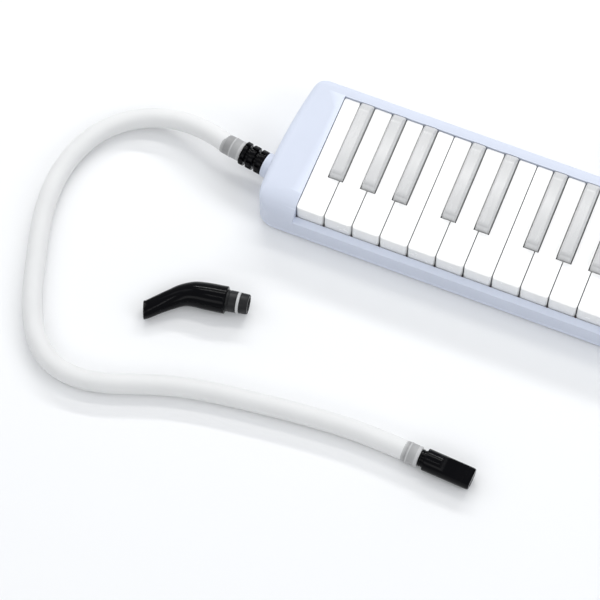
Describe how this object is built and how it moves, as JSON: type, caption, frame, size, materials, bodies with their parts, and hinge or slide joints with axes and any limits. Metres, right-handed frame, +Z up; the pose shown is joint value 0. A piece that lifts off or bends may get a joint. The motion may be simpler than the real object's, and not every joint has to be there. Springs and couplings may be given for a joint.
{
  "type": "melodica",
  "caption": "Mouth-blown keyboard wind instrument: a case with sprung keys over reeds, a spit valve, a flexible blowing hose with beak mouthpiece, and a loose short mouthpiece.",
  "frame": {"origin": "centre of the flat underside of the case, on the surface that it lies on", "axes": "+X along the keyboard towards the high notes, +Y from the player to the back rail, +Z up"},
  "size_m": [0.5686, 0.2578, 0.039],
  "materials": {
    "case_plastic": "satin moulded pale ice-blue",
    "ivory_plastic": "gloss white",
    "sharp_plastic": "gloss pale grey",
    "black_plastic": "high gloss black",
    "matt_black": "matt dark grey-black",
    "hose_vinyl": "soft milky translucent vinyl",
    "white_ring": "white rubber",
    "felt": "wool felt",
    "rubber": "matt",
    "inner_plastic": "moulded grey",
    "brass": "brushed",
    "steel": "brushed"
  },
  "bodies": {
    "case": {"upper_case": "case_plastic", "lower_case": "case_plastic", "case_screw_1": "steel", "case_screw_2": "steel", "case_screw_3": "steel", "case_screw_4": "steel", "case_screw_5": "steel", "case_screw_6": "steel", "key_axle": "steel", "key_felt": "felt", "spring_comb": "steel", "air_chamber": "inner_plastic", "chamber_gasket": "rubber", "port_plate": "inner_plastic", "reed_plate_low": "brass", "reed_plate_high": "brass", "valve_spring": "steel", "inlet_neck": "case_plastic"},
    "blowing_hose": {"hose_connector": "black_plastic", "hose_tube": "hose_vinyl", "hose_end_joint": "black_plastic", "beak_mouthpiece": "black_plastic"},
    "spit_valve": {"valve_button": "case_plastic", "valve_seal": "rubber"},
    "short_mouthpiece_set": {"short_mouthpiece": "black_plastic", "short_mouthpiece_plug": "matt_black", "plug_ring": "white_ring"},
    "white_key_01": {"white_key_01": "ivory_plastic"},
    "white_key_02": {"white_key_02": "ivory_plastic"},
    "white_key_03": {"white_key_03": "ivory_plastic"},
    "white_key_04": {"white_key_04": "ivory_plastic"},
    "white_key_05": {"white_key_05": "ivory_plastic"},
    "white_key_06": {"white_key_06": "ivory_plastic"},
    "white_key_07": {"white_key_07": "ivory_plastic"},
    "white_key_08": {"white_key_08": "ivory_plastic"},
    "white_key_09": {"white_key_09": "ivory_plastic"},
    "white_key_10": {"white_key_10": "ivory_plastic"},
    "white_key_11": {"white_key_11": "ivory_plastic"},
    "white_key_12": {"white_key_12": "ivory_plastic"},
    "white_key_13": {"white_key_13": "ivory_plastic"},
    "white_key_14": {"white_key_14": "ivory_plastic"},
    "white_key_15": {"white_key_15": "ivory_plastic"},
    "white_key_16": {"white_key_16": "ivory_plastic"},
    "white_key_17": {"white_key_17": "ivory_plastic"},
    "white_key_18": {"white_key_18": "ivory_plastic"},
    "white_key_19": {"white_key_19": "ivory_plastic"},
    "black_key_01": {"black_key_01": "sharp_plastic"},
    "black_key_02": {"black_key_02": "sharp_plastic"},
    "black_key_03": {"black_key_03": "sharp_plastic"},
    "black_key_04": {"black_key_04": "sharp_plastic"},
    "black_key_05": {"black_key_05": "sharp_plastic"},
    "black_key_06": {"black_key_06": "sharp_plastic"},
    "black_key_07": {"black_key_07": "sharp_plastic"},
    "black_key_08": {"black_key_08": "sharp_plastic"},
    "black_key_09": {"black_key_09": "sharp_plastic"},
    "black_key_10": {"black_key_10": "sharp_plastic"},
    "black_key_11": {"black_key_11": "sharp_plastic"},
    "black_key_12": {"black_key_12": "sharp_plastic"},
    "black_key_13": {"black_key_13": "sharp_plastic"}
  },
  "joints": [
    {"name": "spit_valve_press", "type": "slide", "parent": "case", "child": "spit_valve", "axis": [-1, 0, 0], "range_m": [0, 0.002], "stiffness_N_per_m": 400, "springref_m": -0.002, "deforming": ["valve_spring"]},
    {"name": "hose_pull_off", "type": "slide", "parent": "case", "child": "blowing_hose", "axis": [-0.989, 0.1478, 0], "range_m": [0, 0.0125]},
    {"name": "short_mouthpiece_lift", "type": "slide", "parent": "case", "child": "short_mouthpiece_set", "axis": [0, 0, 1], "range_m": [0, 0.03]},
    {"name": "white_key_01_press", "type": "hinge", "parent": "case", "child": "white_key_01", "pos_m": [0, 0.016, 0.0225], "axis": [1, 0, 0], "range_deg": [0, 3.9], "stiffness_Nm_per_rad": 0.05, "springref_deg": -28.65},
    {"name": "white_key_02_press", "type": "hinge", "parent": "case", "child": "white_key_02", "pos_m": [0, 0.016, 0.0225], "axis": [1, 0, 0], "range_deg": [0, 3.9], "stiffness_Nm_per_rad": 0.05, "springref_deg": -28.65},
    {"name": "white_key_03_press", "type": "hinge", "parent": "case", "child": "white_key_03", "pos_m": [0, 0.016, 0.0225], "axis": [1, 0, 0], "range_deg": [0, 3.9], "stiffness_Nm_per_rad": 0.05, "springref_deg": -28.65},
    {"name": "white_key_04_press", "type": "hinge", "parent": "case", "child": "white_key_04", "pos_m": [0, 0.016, 0.0225], "axis": [1, 0, 0], "range_deg": [0, 3.9], "stiffness_Nm_per_rad": 0.05, "springref_deg": -28.65},
    {"name": "white_key_05_press", "type": "hinge", "parent": "case", "child": "white_key_05", "pos_m": [0, 0.016, 0.0225], "axis": [1, 0, 0], "range_deg": [0, 3.9], "stiffness_Nm_per_rad": 0.05, "springref_deg": -28.65},
    {"name": "white_key_06_press", "type": "hinge", "parent": "case", "child": "white_key_06", "pos_m": [0, 0.016, 0.0225], "axis": [1, 0, 0], "range_deg": [0, 3.9], "stiffness_Nm_per_rad": 0.05, "springref_deg": -28.65},
    {"name": "white_key_07_press", "type": "hinge", "parent": "case", "child": "white_key_07", "pos_m": [0, 0.016, 0.0225], "axis": [1, 0, 0], "range_deg": [0, 3.9], "stiffness_Nm_per_rad": 0.05, "springref_deg": -28.65},
    {"name": "white_key_08_press", "type": "hinge", "parent": "case", "child": "white_key_08", "pos_m": [0, 0.016, 0.0225], "axis": [1, 0, 0], "range_deg": [0, 3.9], "stiffness_Nm_per_rad": 0.05, "springref_deg": -28.65},
    {"name": "white_key_09_press", "type": "hinge", "parent": "case", "child": "white_key_09", "pos_m": [0, 0.016, 0.0225], "axis": [1, 0, 0], "range_deg": [0, 3.9], "stiffness_Nm_per_rad": 0.05, "springref_deg": -28.65},
    {"name": "white_key_10_press", "type": "hinge", "parent": "case", "child": "white_key_10", "pos_m": [0, 0.016, 0.0225], "axis": [1, 0, 0], "range_deg": [0, 3.9], "stiffness_Nm_per_rad": 0.05, "springref_deg": -28.65},
    {"name": "white_key_11_press", "type": "hinge", "parent": "case", "child": "white_key_11", "pos_m": [0, 0.016, 0.0225], "axis": [1, 0, 0], "range_deg": [0, 3.9], "stiffness_Nm_per_rad": 0.05, "springref_deg": -28.65},
    {"name": "white_key_12_press", "type": "hinge", "parent": "case", "child": "white_key_12", "pos_m": [0, 0.016, 0.0225], "axis": [1, 0, 0], "range_deg": [0, 3.9], "stiffness_Nm_per_rad": 0.05, "springref_deg": -28.65},
    {"name": "white_key_13_press", "type": "hinge", "parent": "case", "child": "white_key_13", "pos_m": [0, 0.016, 0.0225], "axis": [1, 0, 0], "range_deg": [0, 3.9], "stiffness_Nm_per_rad": 0.05, "springref_deg": -28.65},
    {"name": "white_key_14_press", "type": "hinge", "parent": "case", "child": "white_key_14", "pos_m": [0, 0.016, 0.0225], "axis": [1, 0, 0], "range_deg": [0, 3.9], "stiffness_Nm_per_rad": 0.05, "springref_deg": -28.65},
    {"name": "white_key_15_press", "type": "hinge", "parent": "case", "child": "white_key_15", "pos_m": [0, 0.016, 0.0225], "axis": [1, 0, 0], "range_deg": [0, 3.9], "stiffness_Nm_per_rad": 0.05, "springref_deg": -28.65},
    {"name": "white_key_16_press", "type": "hinge", "parent": "case", "child": "white_key_16", "pos_m": [0, 0.016, 0.0225], "axis": [1, 0, 0], "range_deg": [0, 3.9], "stiffness_Nm_per_rad": 0.05, "springref_deg": -28.65},
    {"name": "white_key_17_press", "type": "hinge", "parent": "case", "child": "white_key_17", "pos_m": [0, 0.016, 0.0225], "axis": [1, 0, 0], "range_deg": [0, 3.9], "stiffness_Nm_per_rad": 0.05, "springref_deg": -28.65},
    {"name": "white_key_18_press", "type": "hinge", "parent": "case", "child": "white_key_18", "pos_m": [0, 0.016, 0.0225], "axis": [1, 0, 0], "range_deg": [0, 3.9], "stiffness_Nm_per_rad": 0.05, "springref_deg": -28.65},
    {"name": "white_key_19_press", "type": "hinge", "parent": "case", "child": "white_key_19", "pos_m": [0, 0.016, 0.0225], "axis": [1, 0, 0], "range_deg": [0, 3.9], "stiffness_Nm_per_rad": 0.05, "springref_deg": -28.65},
    {"name": "black_key_01_press", "type": "hinge", "parent": "case", "child": "black_key_01", "pos_m": [0, 0.016, 0.0225], "axis": [1, 0, 0], "range_deg": [0, 5.2], "stiffness_Nm_per_rad": 0.05, "springref_deg": -28.65},
    {"name": "black_key_02_press", "type": "hinge", "parent": "case", "child": "black_key_02", "pos_m": [0, 0.016, 0.0225], "axis": [1, 0, 0], "range_deg": [0, 5.2], "stiffness_Nm_per_rad": 0.05, "springref_deg": -28.65},
    {"name": "black_key_03_press", "type": "hinge", "parent": "case", "child": "black_key_03", "pos_m": [0, 0.016, 0.0225], "axis": [1, 0, 0], "range_deg": [0, 5.2], "stiffness_Nm_per_rad": 0.05, "springref_deg": -28.65},
    {"name": "black_key_04_press", "type": "hinge", "parent": "case", "child": "black_key_04", "pos_m": [0, 0.016, 0.0225], "axis": [1, 0, 0], "range_deg": [0, 5.2], "stiffness_Nm_per_rad": 0.05, "springref_deg": -28.65},
    {"name": "black_key_05_press", "type": "hinge", "parent": "case", "child": "black_key_05", "pos_m": [0, 0.016, 0.0225], "axis": [1, 0, 0], "range_deg": [0, 5.2], "stiffness_Nm_per_rad": 0.05, "springref_deg": -28.65},
    {"name": "black_key_06_press", "type": "hinge", "parent": "case", "child": "black_key_06", "pos_m": [0, 0.016, 0.0225], "axis": [1, 0, 0], "range_deg": [0, 5.2], "stiffness_Nm_per_rad": 0.05, "springref_deg": -28.65},
    {"name": "black_key_07_press", "type": "hinge", "parent": "case", "child": "black_key_07", "pos_m": [0, 0.016, 0.0225], "axis": [1, 0, 0], "range_deg": [0, 5.2], "stiffness_Nm_per_rad": 0.05, "springref_deg": -28.65},
    {"name": "black_key_08_press", "type": "hinge", "parent": "case", "child": "black_key_08", "pos_m": [0, 0.016, 0.0225], "axis": [1, 0, 0], "range_deg": [0, 5.2], "stiffness_Nm_per_rad": 0.05, "springref_deg": -28.65},
    {"name": "black_key_09_press", "type": "hinge", "parent": "case", "child": "black_key_09", "pos_m": [0, 0.016, 0.0225], "axis": [1, 0, 0], "range_deg": [0, 5.2], "stiffness_Nm_per_rad": 0.05, "springref_deg": -28.65},
    {"name": "black_key_10_press", "type": "hinge", "parent": "case", "child": "black_key_10", "pos_m": [0, 0.016, 0.0225], "axis": [1, 0, 0], "range_deg": [0, 5.2], "stiffness_Nm_per_rad": 0.05, "springref_deg": -28.65},
    {"name": "black_key_11_press", "type": "hinge", "parent": "case", "child": "black_key_11", "pos_m": [0, 0.016, 0.0225], "axis": [1, 0, 0], "range_deg": [0, 5.2], "stiffness_Nm_per_rad": 0.05, "springref_deg": -28.65},
    {"name": "black_key_12_press", "type": "hinge", "parent": "case", "child": "black_key_12", "pos_m": [0, 0.016, 0.0225], "axis": [1, 0, 0], "range_deg": [0, 5.2], "stiffness_Nm_per_rad": 0.05, "springref_deg": -28.65},
    {"name": "black_key_13_press", "type": "hinge", "parent": "case", "child": "black_key_13", "pos_m": [0, 0.016, 0.0225], "axis": [1, 0, 0], "range_deg": [0, 5.2], "stiffness_Nm_per_rad": 0.05, "springref_deg": -28.65}
  ]
}
